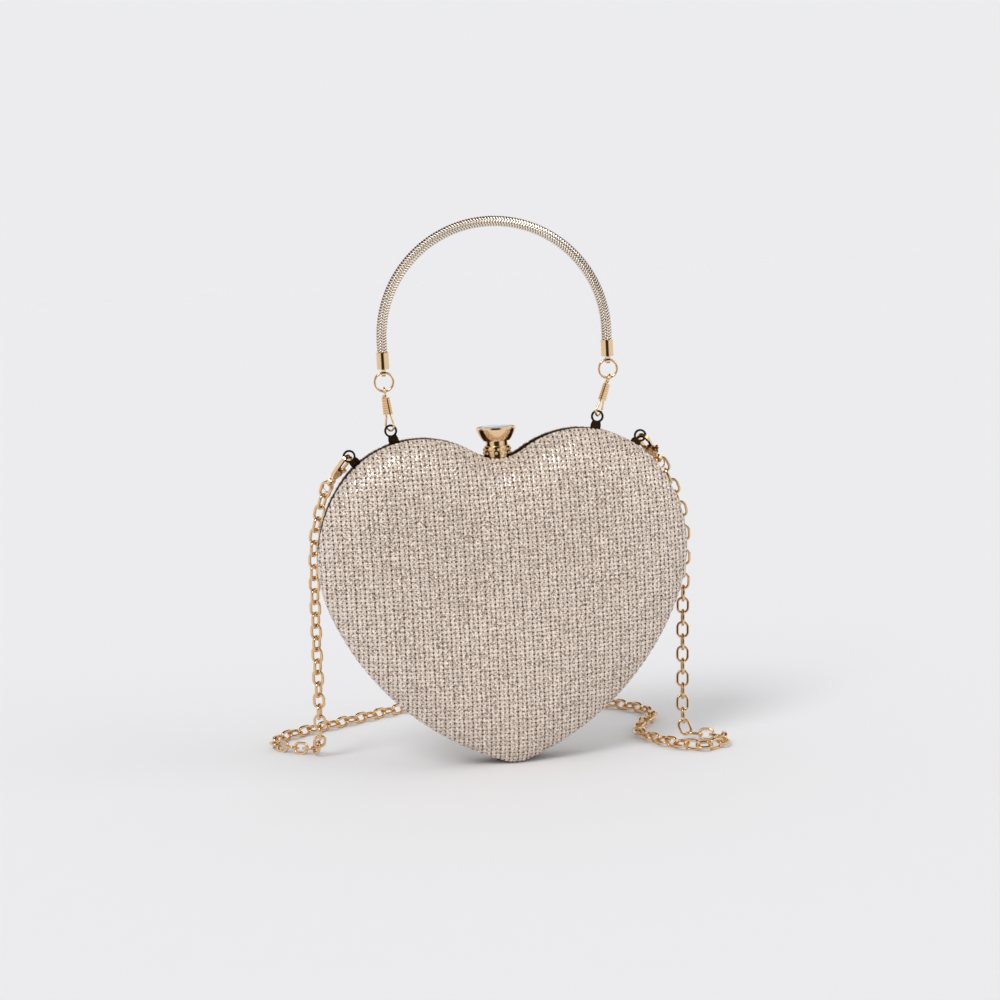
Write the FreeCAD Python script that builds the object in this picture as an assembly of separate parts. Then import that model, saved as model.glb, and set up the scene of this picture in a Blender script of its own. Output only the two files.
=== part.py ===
import FreeCAD, Part
import math
import os

# Hard shell heart purse. Millimetres, +Z up, origin under the tip, the front faces -Y.
# The two halves meet at y = 0. The rear half carries the tabs, the front half the clasp.

# Heart outline: tangent arcs, mirrored about x = 0
lobe_spacing = 71.7
lobe_radius = 44.4
notch_radius = 19.7
side_radius = 60.4
tip_radius = 16.5
lobe_end_angle = 50.5
side_end_angle = 111.0
lower_end_angle = 160.0

# Case depth and walls
half_depth = 25.0
parting_gap = 0.3
rail_width = 5.0
rail_wall = 1.0
rail_recess = 0.3
flange_thickness = 0.8
flange_width = 2.4
glue_gap = 0.05
crown_gap = 0.12
cover_thickness = 1.3
shell_wall = 1.6
lining_thickness = 0.6
dome_centre_height = 88.0
dome_side_power = 2.2
dome_top_power = 2.0

# Hinge at the tip
hinge_height = 2.6
knuckle_radius = 2.2
knuckle_length = 5.6
knuckle_gap = 0.2
hinge_clearance = 0.3
hinge_plate_top = 10.0
hinge_pin_radius = 0.8
pin_running_gap = 0.05
pin_head_radius = 1.4
pin_head_length = 0.5
opening_angle = 75.0
opening_margin = 3.0

# Clasp in the notch
collar_radius = 5.9
collar_wall = 0.6
collar_height = 5.4
collar_floor = 1.2
clasp_clearance = 0.3
clasp_offset = 0.25
stud_radius = 1.4
stud_y = -3.0
stud_hole_clearance = 0.2
nut_across_flats = 4.2
nut_height = 1.8
button_travel = 2.0
waist_in_collar = 0.6
cup_base_radius = 6.2
cup_height = 5.3
cup_bulge = 0.35
cup_rim_radius = 8.95
cup_rim_height = 0.8
cup_wall = 0.75
stem_radius = 3.0
stem_bore_radius = 2.2
stem_roof = 1.6
crystal_table_inset = 2.6
crystal_crown = 1.3
crystal_pavilion = 1.6
crystal_sides = 12
seat_clearance = 0.06
spring_radius = 1.6
spring_wire = 0.5
spring_turns = 6
catch_width = 4.2
catch_thickness = 0.8
catch_y = 3.5
catch_top_bar = 1.4
catch_window_width = 2.8
catch_engagement = 0.6
hook_width = 1.8
hook_thickness = 1.0
hook_barb = 0.8
slot_width = 5.4
stone_radius = 0.85
stone_height = 0.5
stone_count = 16
stone_rows = 2
stone_edge = 1.6
stone_row_step = 1.6
stone_sides = 8

# Eyelet tabs, at clock angles round the lobe
handle_tab_angle = 13.0
strap_tab_angle = 38.5
handle_tab_reach = 5.3
strap_tab_reach = 4.6
tab_ring_radius = 2.9
tab_hole_radius = 2.0
tab_thickness = 0.7
tab_base_width = 4.6
tab_neck_width = 3.0
tab_y = 2.6
tab_slot_clearance = 0.05

# Spring clips between the handle and its tabs
clip_length = 18.1
clip_turn = 50.0
clip_lean_left = -5.0
clip_lean_right = 19.5
clip_slack_left = 0.2
clip_slack_right = 0.0
clip_wire = 1.0
clip_loop_radius = 2.6
clip_loop_drop = 0.3
clip_leg_spacing = 2.6
sleeve_bottom = 7.7
sleeve_top = 15.3
sleeve_wide = 5.3
sleeve_narrow = 4.2
sleeve_thick = 2.4
sleeve_rib_count = 7
sleeve_rib_depth = 0.25
clip_eye_radius = 1.85
clip_eye_offset = 0.3
channel_clearance = 0.03
gate_butt_gap = 0.45
gate_pocket_depth = 1.2
gate_pocket_clearance = 0.3
gate_swing_room = 0.9

# Handle
ring_radius = 4.15
ring_wire = 1.1
cap_lug_width = 3.6
cap_lug_thickness = 1.8
cap_lug_hole = 1.0
cap_lug_end = 1.7
cap_lug_height = 3.6
cap_radius = 2.75
cap_length = 7.0
cap_lip = 0.2
handle_leg = 4.8
handle_radius = 2.4
handle_in_cap = 5.5

# Lobster clasps on the shoulder chain
lobster_out_angle = 37.0
lobster_back_angle = 18.0
lobster_turn = 55.0
lobster_thickness = 1.6
lobster_bar = 1.25
lobster_hook_radius = 2.5
lobster_pivot_drop = 9.8
lobster_hub_radius = 3.0
lobster_nose = 0.9
lobster_tail_drop = 15.0
lobster_tail_radius = 2.1
lobster_tail_hole = 1.1
lobster_neck_width = 2.2
lever_thickness = 0.9
lever_slot_clearance = 0.12
lever_pivot_offset = 0.6
lever_hub_radius = 1.6
lever_arm_width = 1.3
lever_thumb_reach = 4.4
lever_thumb_radius = 0.9
lever_pin_radius = 0.5
lever_gap = 0.25

# Shoulder chain
strap_ring_radius = 2.6
strap_ring_wire = 0.8
link_length = 8.05
link_width = 6.0
link_end_bar = 1.0
link_side_bar = 1.25
link_thickness = 1.1
link_pitch = 5.65
floor_lie = 2.75
strand_node_height = 12.0
chain_route = [
    (-83.6, 13.0, 112), (-85.0, 15.8, 92), (-85.8, 19.0, 68), (-86.4, 23.5, 42), (-86.9, 28.5, 20),
    (-87.2, 34.5, 6), (-91.0, 43.0, floor_lie), (-101.0, 50.0, floor_lie), (-109.5, 60.0, floor_lie),
    (-104.5, 74.0, floor_lie), (-87.0, 85.0, floor_lie), (-63.0, 100.0, floor_lie),
    (-38.0, 115.0, floor_lie), (-6.0, 122.0, floor_lie), (26.0, 112.0, floor_lie),
    (48.0, 95.0, floor_lie), (66.0, 77.0, floor_lie), (76.0, 60.0, floor_lie), (74.5, 45.0, floor_lie),
    (65.0, 33.0, floor_lie), (61.5, 19.5, floor_lie), (65.5, 4.5, floor_lie), (73.5, -9.0, floor_lie),
    (83.0, -18.0, floor_lie), (93.0, -16.5, floor_lie), (97.5, -6.5, floor_lie), (91.0, 2.5, floor_lie),
    (81.0, 4.8, 3.2), (80.4, 6.2, 13), (81.6, 8.2, 25), (83.0, 10.4, 45), (84.8, 12.2, 69),
    (86.6, 11.0, 92), (85.6, 10.0, 112)]

V = FreeCAD.Vector
X_AXIS = V(1, 0, 0)
Y_AXIS = V(0, 1, 0)
Z_AXIS = V(0, 0, 1)


def sin_deg(angle):
    return math.sin(math.radians(angle))


def cos_deg(angle):
    return math.cos(math.radians(angle))


# Centres of the outline arcs, found from the radii and the tangent conditions
lobe_x = lobe_spacing / 2
notch_angle = math.degrees(math.asin(lobe_x / (notch_radius + lobe_radius)))
side_x = lobe_x - (side_radius - lobe_radius) * sin_deg(lobe_end_angle)
side_z = -(side_radius - lobe_radius) * cos_deg(lobe_end_angle)
lower_radius = ((side_x + side_radius * sin_deg(side_end_angle) - tip_radius * sin_deg(lower_end_angle))
                / (sin_deg(side_end_angle) - sin_deg(lower_end_angle)))
lower_x = side_x - (lower_radius - side_radius) * sin_deg(side_end_angle)
lower_z = side_z - (lower_radius - side_radius) * cos_deg(side_end_angle)
tip_z = lower_z + (lower_radius - tip_radius) * cos_deg(lower_end_angle)
lift = tip_radius - tip_z
lobe_z = lift
notch_centre_z = lift + (notch_radius + lobe_radius) * cos_deg(notch_angle)
notch_z = notch_centre_z - notch_radius


def heart_wire(y, offset=0.0, scale=1.0):
    """Closed heart outline in the plane y, moved outwards by offset, then scaled about the dome centre."""
    tip = (0.0, tip_z + lift, tip_radius + offset)
    lower = (lower_x, lower_z + lift, lower_radius + offset)
    side = (side_x, side_z + lift, side_radius + offset)
    lobe = (lobe_x, lobe_z, lobe_radius + offset)
    notch = (0.0, notch_centre_z, -(notch_radius - offset))

    def mirrored(arc):
        return (-arc[0], arc[1], arc[2])

    stretches = [
        (tip, 360 - lower_end_angle, lower_end_angle),
        (lower, lower_end_angle, side_end_angle),
        (side, side_end_angle, lobe_end_angle),
        (lobe, lobe_end_angle, -notch_angle),
        (notch, -notch_angle, notch_angle),
        (mirrored(lobe), notch_angle, -lobe_end_angle),
        (mirrored(side), -lobe_end_angle, -side_end_angle),
        (mirrored(lower), -side_end_angle, -lower_end_angle)]

    def point(arc, angle):
        x = arc[0] + arc[2] * sin_deg(angle)
        z = arc[1] + arc[2] * cos_deg(angle)
        return V(scale * x, y, dome_centre_height + scale * (z - dome_centre_height))

    edges = []
    for arc, start, end in stretches:
        middle = (start + end) / 2
        edges.append(Part.Arc(point(arc, start), point(arc, middle), point(arc, end)).toShape())
    return Part.Wire(edges)


def heart_prism(offset, y_low, y_high):
    return Part.Face(heart_wire(y_low, offset)).extrude(V(0, y_high - y_low, 0))


def heart_dome(offset, y_rim, y_top):
    """Crowned solid over the outline: steep at the rim, flattening to the crown."""
    wires = []
    for step in (0.0, 0.09, 0.19, 0.3, 0.42, 0.54, 0.66, 0.77, 0.87, 0.94, 0.98):
        scale = cos_deg(90 * step) ** (2 / dome_side_power)
        rise = sin_deg(90 * step) ** (2 / dome_top_power)
        wires.append(heart_wire(y_rim + (y_top - y_rim) * rise, offset, scale))
    return Part.makeLoft(wires, True, False)


def box(x_low, x_high, y_low, y_high, z_low, z_high):
    return Part.makeBox(x_high - x_low, y_high - y_low, z_high - z_low, V(x_low, y_low, z_low))


def rod_x(radius, x_low, x_high, y, z):
    return Part.makeCylinder(radius, x_high - x_low, V(x_low, y, z), X_AXIS)


def rod_z(radius, x, y, z_low, z_high):
    return Part.makeCylinder(radius, z_high - z_low, V(x, y, z_low), Z_AXIS)


def polygon_wire(sides, radius, z, turn=0.0):
    corners = [V(radius * cos_deg(turn + 360 * i / sides), radius * sin_deg(turn + 360 * i / sides), z)
               for i in range(sides)]
    return Part.makePolygon(corners + corners[:1])


def bent_wire(path_edges, diameter):
    """Round wire swept along tangent edges."""
    path = Part.Wire(path_edges)
    first = path.OrderedEdges[0]
    start = first.valueAt(first.FirstParameter)
    direction = first.tangentAt(first.FirstParameter)
    section = Part.Wire(Part.makeCircle(diameter / 2, start, direction))
    return path.makePipeShell([section], True, False)


def front_of(shape):
    return shape.mirror(V(0, 0, 0), Y_AXIS)


def export(shape, node):
    shape.exportStep("parts/" + node + ".step")


# Half frame: L section rail with the hinge plate at the tip
rail_low = parting_gap / 2
band_inner = -(rail_recess + rail_wall)
flange_inner = band_inner - flange_width
flange_back = rail_low + flange_thickness
rail_top_z = notch_z - rail_recess
hinge_length = 3 * knuckle_length + 2 * knuckle_gap


def hinge_room():
    half = hinge_length / 2 + pin_head_length + 2 * knuckle_gap
    return rod_x(knuckle_radius + hinge_clearance, -half, half, 0, hinge_height)


def tip_relief():
    """Wedge under the hinge axis that lets the two rails swing past each other at the tip."""
    depth = 2 * hinge_height
    half_width = depth * math.tan(math.radians((opening_angle + opening_margin) / 2))
    low = hinge_height - depth
    wedge = Part.Face(Part.makePolygon([
        V(-tip_radius, 0, hinge_height), V(-tip_radius, half_width, low), V(-tip_radius, -half_width, low),
        V(-tip_radius, 0, hinge_height)]))
    return wedge.extrude(V(2 * tip_radius, 0, 0))


def plain_rail():
    rail = heart_prism(-rail_recess, rail_low, rail_width)
    rail = rail.cut(heart_prism(band_inner, flange_back, rail_width))
    rail = rail.cut(heart_prism(flange_inner, rail_low, flange_back))
    plate = heart_prism(-rail_recess - rail_wall / 2, rail_low, flange_back)
    plate = plate.common(box(-2 * tip_radius, 2 * tip_radius, 0, rail_width, 0, hinge_plate_top))
    rail = rail.fuse(plate)
    return rail.cut(hinge_room()).cut(tip_relief())


def knuckle(x_low):
    barrel = rod_x(knuckle_radius, x_low, x_low + knuckle_length, 0, hinge_height)
    leaf_top = hinge_height + knuckle_radius + 2 * hinge_clearance
    leaf = box(x_low, x_low + knuckle_length, rail_low, flange_back, hinge_height, leaf_top)
    return barrel.fuse(leaf)


def with_knuckles(rail, x_starts):
    for x_low in x_starts:
        rail = rail.fuse(knuckle(x_low))
    bore = rod_x(hinge_pin_radius + pin_running_gap, -hinge_length, hinge_length, 0, hinge_height)
    return rail.cut(bore).removeSplitter()


def hinge_pin():
    half = hinge_length / 2 + knuckle_gap / 2
    pin = rod_x(hinge_pin_radius, -half, half, 0, hinge_height)
    for end in (-half - pin_head_length, half):
        pin = pin.fuse(rod_x(pin_head_radius, end, end + pin_head_length, 0, hinge_height))
    return pin.removeSplitter()


# Cover, shell and lining: nested walls under one crown
rim_y = rail_width + glue_gap
shell_outer = band_inner - glue_gap * 2
lining_outer = shell_outer - shell_wall - glue_gap
wall_rim_y = flange_back + glue_gap


def nested_wall(outer, thickness, crown, y_rim):
    """Wall of the given thickness: a straight rim inside the rail, then the dome."""
    solid = heart_dome(outer, rim_y, crown)
    hollow = heart_dome(outer - thickness, rim_y, crown - thickness)
    if y_rim < rim_y:
        solid = solid.fuse(heart_prism(outer, y_rim, rim_y))
        hollow = hollow.fuse(heart_prism(outer - thickness, y_rim, rim_y))
    wall = solid.cut(hollow)
    return wall.cut(hinge_room()).removeSplitter()


cover_crown = half_depth
shell_crown = cover_crown - cover_thickness - crown_gap
lining_crown = shell_crown - shell_wall - crown_gap
rear_cover = nested_wall(0.0, cover_thickness, cover_crown, rim_y)
rear_shell = nested_wall(shell_outer, shell_wall, shell_crown, wall_rim_y)
rear_lining = nested_wall(lining_outer, lining_thickness, lining_crown, wall_rim_y)


# Eyelet tabs, brazed into slots of the rear rail
def tab_place(angle, reach, side):
    """Centre of the eyelet on one side of the bag."""
    distance = lobe_radius + reach
    return V(side * (lobe_x + distance * sin_deg(angle)), tab_y, lobe_z + distance * cos_deg(angle))


def tab_shape(reach, clearance=0.0):
    foot = -(reach + rail_recess + rail_wall)
    base = -(reach - tab_ring_radius / 2)
    half_base = tab_base_width / 2 + clearance
    half_neck = tab_neck_width / 2 + clearance
    thick = tab_thickness + 2 * clearance
    stem = Part.Face(Part.makePolygon([
        V(-half_base, -thick / 2, foot), V(half_base, -thick / 2, foot),
        V(half_base, -thick / 2, base), V(half_neck, -thick / 2, -tab_hole_radius / 2),
        V(-half_neck, -thick / 2, -tab_hole_radius / 2), V(-half_base, -thick / 2, base),
        V(-half_base, -thick / 2, foot)])).extrude(V(0, thick, 0))
    ring = Part.makeCylinder(tab_ring_radius, thick, V(0, -thick / 2, 0), Y_AXIS)
    hole = Part.makeCylinder(tab_hole_radius, 2 * thick, V(0, -thick, 0), Y_AXIS)
    return stem.fuse(ring).cut(hole).removeSplitter()


def placed_tab(angle, reach, side, clearance=0.0):
    tab = tab_shape(reach, clearance)
    tab.rotate(V(0, 0, 0), Y_AXIS, side * angle)
    tab.translate(tab_place(angle, reach, side))
    return tab


tabs = {}
tab_slots = []
for kind, angle, reach in (("handle", handle_tab_angle, handle_tab_reach),
                           ("strap", strap_tab_angle, strap_tab_reach)):
    for side_name, side in (("left", -1), ("right", 1)):
        tabs[kind + "_tab_" + side_name] = placed_tab(angle, reach, side)
        tab_slots.append(placed_tab(angle, reach, side, tab_slot_clearance))


# Clasp: collar and sprung button on the front half, catch plate on the rear half
collar_bottom = rail_top_z
collar_top = notch_z + collar_height
collar_floor_top = notch_z + collar_floor
bore_radius = collar_radius - collar_wall
stem_bottom = collar_floor_top + button_travel + clasp_clearance
waist_radius = bore_radius - clasp_clearance
waist_top = collar_top + button_travel + clasp_clearance
cup_top = waist_top + cup_height
rim_top = cup_top + cup_rim_height
crystal_radius = cup_rim_radius - cup_wall
crystal_table_radius = crystal_radius - crystal_table_inset
spring_top = waist_top + stem_roof
hook_top = stem_bottom + hook_thickness + hook_barb
window_top = hook_top - catch_engagement
window_bottom = stem_bottom - button_travel - clasp_clearance
catch_top = window_top + catch_top_bar
catch_back = catch_y + catch_thickness
stud_bottom = rail_top_z - rail_wall - shell_wall - lining_thickness - 4 * glue_gap - nut_height


def clasp_collar():
    lip_z = collar_top - collar_wall / 2
    collar = rod_z(collar_radius, 0, 0, collar_bottom - rail_recess, lip_z)
    bead = Part.makeTorus(collar_radius - collar_wall / 2, collar_wall / 2, V(0, 0, lip_z), Z_AXIS)
    collar = collar.fuse(bead)
    collar = collar.cut(rod_z(bore_radius, 0, 0, collar_floor_top, collar_top + collar_wall))
    reach = 2 * collar_radius
    collar = collar.cut(heart_prism(-rail_recess, -rail_width, -rail_low))
    collar = collar.cut(heart_prism(clasp_offset, -rail_low, reach))
    collar = collar.cut(heart_prism(clasp_offset, -reach, -rail_width))
    slot_floor = collar_bottom - rail_recess
    collar = collar.cut(box(-slot_width / 2, slot_width / 2, stem_bore_radius - clasp_clearance, reach,
                            slot_floor, catch_top + clasp_clearance))
    collar = collar.fuse(rod_z(stud_radius, 0, stud_y, stud_bottom, collar_bottom + collar_floor / 2))
    return collar.removeSplitter()


def clasp_nut():
    flat_radius = nut_across_flats / 2 / cos_deg(30)
    top = stud_bottom + nut_height
    nut = Part.Face(polygon_wire(6, flat_radius, stud_bottom)).extrude(V(0, 0, nut_height))
    nut.translate(V(0, stud_y, 0))
    return nut.cut(rod_z(stud_radius + seat_clearance, 0, stud_y, stud_bottom - 1, top + 1))


def clasp_button():
    """Turned button: flared cup with a seat for the crystal, a waist cut out for the catch, a hollow stem."""
    profile = [
        V(0, 0, waist_top + stem_roof + crystal_pavilion / 2), V(crystal_table_radius, 0, cup_top - crystal_pavilion),
        V(crystal_radius + seat_clearance, 0, cup_top), V(crystal_radius + seat_clearance, 0, rim_top),
        V(cup_rim_radius, 0, rim_top), V(cup_rim_radius, 0, cup_top)]
    flare = Part.Arc(V(cup_rim_radius, 0, cup_top),
                     V((cup_base_radius + cup_rim_radius) / 2 + cup_bulge, 0, (waist_top + cup_top) / 2),
                     V(cup_base_radius, 0, waist_top)).toShape()
    lower = [
        V(cup_base_radius, 0, waist_top), V(waist_radius, 0, waist_top),
        V(waist_radius, 0, collar_top - waist_in_collar),
        V(stem_radius, 0, collar_top - waist_in_collar), V(stem_radius, 0, stem_bottom),
        V(stem_bore_radius, 0, stem_bottom), V(stem_bore_radius, 0, spring_top), V(0, 0, spring_top)]
    closing = Part.makePolygon([lower[-1], profile[0]])
    outline = Part.Wire([*Part.makePolygon(profile).Edges, flare, *Part.makePolygon(lower).Edges,
                         *closing.Edges])
    button = Part.Face(outline).revolve(V(0, 0, 0), Z_AXIS, 360)
    plate_top = catch_top - hook_thickness
    return button.cut(box(-slot_width / 2, slot_width / 2, catch_y - clasp_clearance, cup_rim_radius,
                          stem_bottom, plate_top + button_travel + clasp_clearance))


def clasp_crystal():
    """Cut stone with a flat table, standing in the cup."""
    low = polygon_wire(crystal_sides, crystal_table_radius, cup_top - crystal_pavilion + seat_clearance)
    girdle = polygon_wire(crystal_sides, crystal_radius, cup_top + seat_clearance)
    table = polygon_wire(crystal_sides, crystal_table_radius, cup_top + crystal_crown)
    return Part.makeLoft([low, girdle, table], True, True)


def clasp_latch():
    """Hook on the stem: a shank through the catch window with a barb turned up behind the plate."""
    half = hook_width / 2
    barb_front = catch_back + clasp_clearance
    shank = box(-half, half, stem_bore_radius, barb_front + hook_barb, stem_bottom - hook_thickness,
                stem_bottom)
    barb = box(-half, half, barb_front, barb_front + hook_barb, stem_bottom - hook_thickness,
               hook_top - hook_thickness)
    return shank.fuse(barb).removeSplitter()


def catch_plate(clearance=0.0):
    half = catch_width / 2 + clearance
    plate = box(-half, half, catch_y - clearance, catch_back + clearance, rail_top_z - rail_wall + 2 * glue_gap,
                catch_top - hook_thickness)
    half_window = catch_window_width / 2
    window = box(-half_window, half_window, 0, rail_width, window_bottom - hook_thickness,
                 window_top - hook_thickness)
    return plate.cut(window)


def clasp_spring():
    """Compression spring inside the stem: quarter turns, each two arcs tangent to the helix."""
    free = spring_wire / 2
    low = collar_floor_top + free
    height = spring_top - collar_floor_top - 2 * free
    quarters = 4 * spring_turns
    climb = height / (2 * math.pi * spring_turns)

    def place(turn):
        return V(spring_radius * math.cos(turn), spring_radius * math.sin(turn), low + climb * turn)

    def heading(turn):
        along = V(-spring_radius * math.sin(turn), spring_radius * math.cos(turn), climb)
        return along.normalize()

    edges = []
    for quarter in range(quarters):
        turn = quarter * math.pi / 2
        start, end = place(turn), place(turn + math.pi / 2)
        first, last = heading(turn), heading(turn + math.pi / 2)
        chord = end - start
        both = first + last
        spread = 2 * (1 - first.dot(last))
        reach = (-chord.dot(both) + math.sqrt(chord.dot(both) ** 2 + spread * chord.dot(chord))) / spread
        corner_a, corner_b = start + first * reach, end - last * reach
        joint = (corner_a + corner_b) * 0.5
        for a, corner, b in ((start, corner_a, joint), (joint, corner_b, end)):
            middle = (a + b) * 0.5
            rise = (corner - middle).Length
            half_turn = math.atan2(rise, (b - a).Length / 2)
            share = math.tan(half_turn / 2) / math.tan(half_turn)
            edges.append(Part.Arc(a, middle + (corner - middle) * share, b).toShape())
    print("clasp spring least gap to itself", round(height / spring_turns - spring_wire, 2))
    return bent_wire(edges, spring_wire)


def collar_stones():
    """Small cut stones set in the collar, all round but for the slot at the back."""
    stones = []
    for row in range(stone_rows):
        z = collar_top - stone_edge - row * stone_row_step
        for i in range(stone_count):
            turn = 360.0 * (i + 0.5 * row) / stone_count
            if sin_deg(turn) * collar_radius > stem_radius:
                continue
            base = polygon_wire(stone_sides, stone_radius, -stone_height / 2)
            top = polygon_wire(stone_sides, stone_radius / 2, stone_height)
            stone = Part.makeLoft([base, top], True, True)
            stone.rotate(V(0, 0, 0), Y_AXIS, 90)
            stone.translate(V(collar_radius, 0, z))
            stone.rotate(V(0, 0, 0), Z_AXIS, turn)
            stones.append(stone)
    return stones


collar = clasp_collar()
stones = collar_stones()
for stone in stones:
    collar = collar.cut(stone)
rail_stud_hole = rod_z(stud_radius + pin_running_gap, 0, stud_y, stud_bottom, collar_bottom + rail_wall)
wall_stud_hole = rod_z(stud_radius + stud_hole_clearance, 0, stud_y, stud_bottom, collar_bottom + rail_wall)

outer_knuckles = (-hinge_length / 2, hinge_length / 2 - knuckle_length)
rear_frame = with_knuckles(plain_rail(), outer_knuckles)
for slot in tab_slots:
    rear_frame = rear_frame.cut(slot)
rear_frame = rear_frame.cut(catch_plate(tab_slot_clearance))
front_frame = with_knuckles(plain_rail(), (-knuckle_length / 2,))
front_frame = front_of(front_frame).cut(rail_stud_hole)
front_shell = front_of(rear_shell).cut(wall_stud_hole)
front_lining = front_of(rear_lining).cut(wall_stud_hole)
front_cover = front_of(rear_cover)


# Spring clips: built upright at the eyelet, then turned, leaned and moved into place
def clip_foot(side):
    slack = clip_slack_left if side < 0 else clip_slack_right
    return tab_place(handle_tab_angle, handle_tab_reach, side) - V(0, 0, slack)


def placed_clip(shape, side):
    lean = clip_lean_left if side < 0 else clip_lean_right
    shape.rotate(V(0, 0, 0), Z_AXIS, side * clip_turn)
    shape.rotate(V(0, 0, 0), Y_AXIS, lean)
    shape.translate(clip_foot(side))
    return shape


leg_x = clip_leg_spacing / 2
loop_z = clip_loop_drop + clip_loop_radius
eye_z = clip_length - clip_eye_offset


def clip_hook(side):
    """One wire: the hooked loop, the leg through the sleeve and the eye above it, square to the ring."""
    tip = V(clip_loop_radius, 0, loop_z)
    turn = V(-clip_loop_radius, 0, loop_z)
    leg_low = V(-leg_x, 0, sleeve_bottom - clip_wire)
    leg_high = V(-leg_x, 0, sleeve_top + clip_wire / 2 + glue_gap)
    eye_foot = V(0, 0, eye_z - clip_eye_radius)
    loop = Part.Arc(tip, V(0, 0, clip_loop_drop), turn).toShape()
    hook = bent_wire([loop], clip_wire)
    for a, b in ((turn, leg_low), (leg_low, leg_high), (leg_high, eye_foot)):
        hook = hook.fuse(Part.makeCylinder(clip_wire / 2, (b - a).Length, a, b - a))
        hook = hook.fuse(Part.makeSphere(clip_wire / 2, a))
    eye = Part.makeTorus(clip_eye_radius, clip_wire / 2, V(0, 0, eye_z), Y_AXIS)
    eye.rotate(V(0, 0, 0), Z_AXIS, side * (90 - clip_turn))
    return hook.fuse(eye).removeSplitter()


def clip_gate():
    """Sprung leg: closes the loop and pivots in the mouth of the sleeve."""
    pivot = V(leg_x, 0, sleeve_bottom + clip_wire / 2)
    end = V(clip_loop_radius, 0, loop_z + gate_butt_gap)
    wire = Part.makeCylinder(clip_wire / 2, (end - pivot).Length, pivot, end - pivot)
    return wire.fuse(Part.makeSphere(clip_wire / 2, pivot)).removeSplitter()


def clip_sleeve():
    """Tapered ferrule with pressed ribs, bored for the leg and open below for the gate."""
    def section(z, inset):
        share = (z - sleeve_bottom) / (sleeve_top - sleeve_bottom)
        half_width = (sleeve_wide + (sleeve_narrow - sleeve_wide) * share) / 2 - inset
        half_thick = sleeve_thick / 2 - inset
        flat = half_width - half_thick
        return Part.Wire([
            Part.LineSegment(V(-flat, -half_thick, z), V(flat, -half_thick, z)).toShape(),
            Part.Arc(V(flat, -half_thick, z), V(half_width, 0, z), V(flat, half_thick, z)).toShape(),
            Part.LineSegment(V(flat, half_thick, z), V(-flat, half_thick, z)).toShape(),
            Part.Arc(V(-flat, half_thick, z), V(-half_width, 0, z), V(-flat, -half_thick, z)).toShape()])

    pitch = (sleeve_top - sleeve_bottom) / sleeve_rib_count
    wires = [section(sleeve_bottom, 0)]
    for rib in range(sleeve_rib_count):
        low = sleeve_bottom + rib * pitch
        wires.append(section(low + 0.5 * pitch, 0))
        wires.append(section(low + 0.75 * pitch, sleeve_rib_depth))
        wires.append(section(low + pitch, 0))
    sleeve = Part.makeLoft(wires, True, True)
    sleeve = sleeve.cut(rod_z(clip_wire / 2 + channel_clearance, -leg_x, 0, sleeve_bottom - 1, sleeve_top + 1))
    pocket_half = clip_wire / 2 + gate_pocket_clearance
    return sleeve.cut(box(leg_x - gate_swing_room, leg_x + pocket_half, -pocket_half, pocket_half,
                          sleeve_bottom - 1, sleeve_bottom + gate_pocket_depth))


# Handle: built in the plane of its two jump ring pivots
def ring_pivot(side):
    lean = clip_lean_left if side < 0 else clip_lean_right
    top = V(sin_deg(lean), 0, cos_deg(lean)) * clip_length
    return clip_foot(side) + top


pivot_left, pivot_right = ring_pivot(-1), ring_pivot(1)
handle_span = (pivot_right - pivot_left).Length
handle_tilt = -math.degrees(math.atan2(pivot_right.z - pivot_left.z, pivot_right.x - pivot_left.x))
ring_top = 2 * ring_radius
cap_bottom = ring_top - cap_lug_end + cap_lug_height
cap_top = cap_bottom + cap_length
arch_base = cap_top + handle_leg


def placed_handle(shape):
    shape.rotate(V(0, 0, 0), Y_AXIS, handle_tilt)
    shape.translate((pivot_left + pivot_right) * 0.5)
    return shape


def jump_ring(x):
    return Part.makeTorus(ring_radius, ring_wire / 2, V(x, 0, ring_radius), Y_AXIS)


def end_cap(x):
    """Turned ferrule with a lip, and a flat lug below for the jump ring."""
    cap = rod_z(cap_radius, x, 0, cap_bottom, cap_top)
    cap = cap.fuse(rod_z(cap_radius + cap_lip, x, 0, cap_top - 2 * cap_lip, cap_top))
    cap = cap.fuse(Part.makeSphere(cap_radius, V(x, 0, cap_bottom)).common(
        rod_z(cap_radius, x, 0, cap_bottom - cap_radius / 2, cap_bottom)))
    cap = cap.cut(rod_z(handle_radius + glue_gap, x, 0, cap_top - handle_in_cap, cap_top + 1))
    half = cap_lug_thickness / 2
    for sign in (-1, 1):
        cap = cap.cut(box(x + sign * half if sign > 0 else x - 2 * cap_radius,
                          x + 2 * cap_radius if sign > 0 else x - half,
                          -2 * cap_radius, 2 * cap_radius, 0, cap_bottom - clasp_clearance))
    lug = Part.makeCylinder(cap_lug_width / 2, cap_lug_thickness, V(x - half, 0, ring_top), X_AXIS)
    lug = lug.fuse(box(x - half, x + half, -cap_lug_width / 2, cap_lug_width / 2, ring_top, cap_bottom))
    cap = cap.fuse(lug)
    return cap.cut(rod_x(cap_lug_hole, x - cap_radius * 2, x + cap_radius * 2, 0, ring_top)).removeSplitter()


def snake_chain():
    half = handle_span / 2
    foot = cap_top - handle_in_cap + glue_gap
    left_foot, left_top = V(-half, 0, foot), V(-half, 0, arch_base)
    right_top, right_foot = V(half, 0, arch_base), V(half, 0, foot)
    crown = V(0, 0, arch_base + half)
    path = [Part.LineSegment(left_foot, left_top).toShape(),
            Part.Arc(left_top, V(-half * cos_deg(45), 0, arch_base + half * cos_deg(45)), crown).toShape(),
            Part.Arc(crown, V(half * cos_deg(45), 0, arch_base + half * cos_deg(45)), right_top).toShape(),
            Part.LineSegment(right_top, right_foot).toShape()]
    return bent_wire(path, 2 * handle_radius)


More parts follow.
